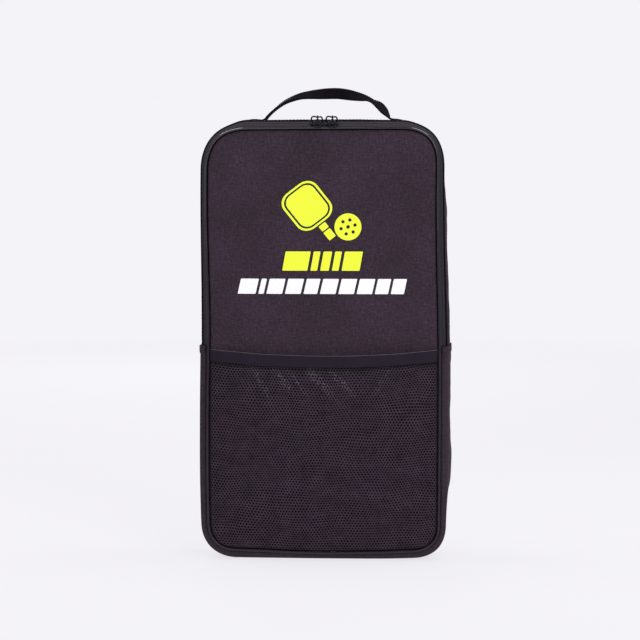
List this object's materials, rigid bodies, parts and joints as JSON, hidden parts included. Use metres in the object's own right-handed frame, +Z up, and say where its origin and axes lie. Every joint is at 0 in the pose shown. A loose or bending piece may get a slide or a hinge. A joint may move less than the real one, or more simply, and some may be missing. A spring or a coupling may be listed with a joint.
{
  "type": "paddle case",
  "caption": "Flat soft case for sports paddles with a zipped fold-down front, piped edges, net front pocket and webbing top handle.",
  "frame": {"origin": "middle of the flat underside, on the ground it stands on", "axes": "+Z up, -Y out of the front face with the net pocket, +X to the right of the front face"},
  "size_m": [0.2486, 0.0722, 0.4681],
  "materials": {
    "case_cloth": "matt heathered polyester weave, near black with a plum cast",
    "gusset_cloth": "matt polyester weave, near black",
    "foam": "closed-cell foam sheet",
    "lining_cloth": "thin plain-weave lining",
    "piping": "smooth glossy vinyl-covered cord",
    "zipper_tape": "fine twill zipper tape",
    "zipper_coil": "nylon coil",
    "slider_metal": "black painted die-cast metal",
    "net": "open hexagonal polyester net",
    "webbing": "ribbed polypropylene webbing",
    "binding_tape": "ribbed grosgrain tape",
    "print_green": "printed film",
    "print_white": "printed film"
  },
  "bodies": {
    "case": {"back_panel_fabric": "case_cloth", "back_panel_foam": "foam", "back_panel_lining": "lining_cloth", "back_piping": "piping", "back_seam_binding": "binding_tape", "upper_gusset_fabric": "gusset_cloth", "upper_gusset_lining": "lining_cloth", "lower_gusset_fabric": "gusset_cloth", "lower_gusset_lining": "lining_cloth", "zipper_tape_rear": "zipper_tape", "zipper_coil_rear": "zipper_coil", "front_lower_fabric": "case_cloth", "front_lower_foam": "foam", "front_lower_lining": "lining_cloth", "front_lower_piping": "piping", "front_lower_seam_binding": "binding_tape", "mesh_pocket": "net", "pocket_binding": "binding_tape", "handle_anchor_left": "webbing", "handle_anchor_right": "webbing"},
    "flap": {"front_upper_fabric": "case_cloth", "front_upper_foam": "foam", "front_upper_lining": "lining_cloth", "front_upper_piping": "piping", "front_upper_seam_binding": "binding_tape", "zipper_tape_front": "zipper_tape", "zipper_coil_front": "zipper_coil", "print_paddle": "print_green", "print_ball": "print_green", "print_bar_green": "print_green", "print_bar_white": "print_white"},
    "strap": {"handle_webbing": "webbing"},
    "slider_l": {"slider_left": "slider_metal"},
    "slider_r": {"slider_right": "slider_metal"},
    "pull_l": {"pull_left": "slider_metal"},
    "pull_r": {"pull_right": "slider_metal"}
  },
  "joints": [
    {"name": "flap_open", "type": "hinge", "parent": "case", "child": "flap", "pos_m": [0, -0.02745, 0.214], "axis": [1, 0, 0], "range_deg": [0, 100], "deforming": ["zipper_tape_front", "zipper_coil_front"]},
    {"name": "strap_tip", "type": "hinge", "parent": "case", "child": "strap", "pos_m": [0, 0.00555, 0.44175], "axis": [1, 0, 0], "range_deg": [-50, 50], "stiffness_Nm_per_rad": 0.02},
    {"name": "slider_left_run", "type": "slide", "parent": "case", "child": "slider_l", "axis": [-1, 0, 0], "range_m": [0, 0.06]},
    {"name": "slider_right_run", "type": "slide", "parent": "case", "child": "slider_r", "axis": [1, 0, 0], "range_m": [0, 0.062]},
    {"name": "pull_left_swing", "type": "hinge", "parent": "slider_l", "child": "pull_l", "pos_m": [-0.0074, -0.02166, 0.43996], "axis": [-1, 0, 0], "range_deg": [0, 200]},
    {"name": "pull_right_swing", "type": "hinge", "parent": "slider_r", "child": "pull_r", "pos_m": [0.0072, -0.02166, 0.43996], "axis": [-1, 0, 0], "range_deg": [0, 200]}
  ]
}
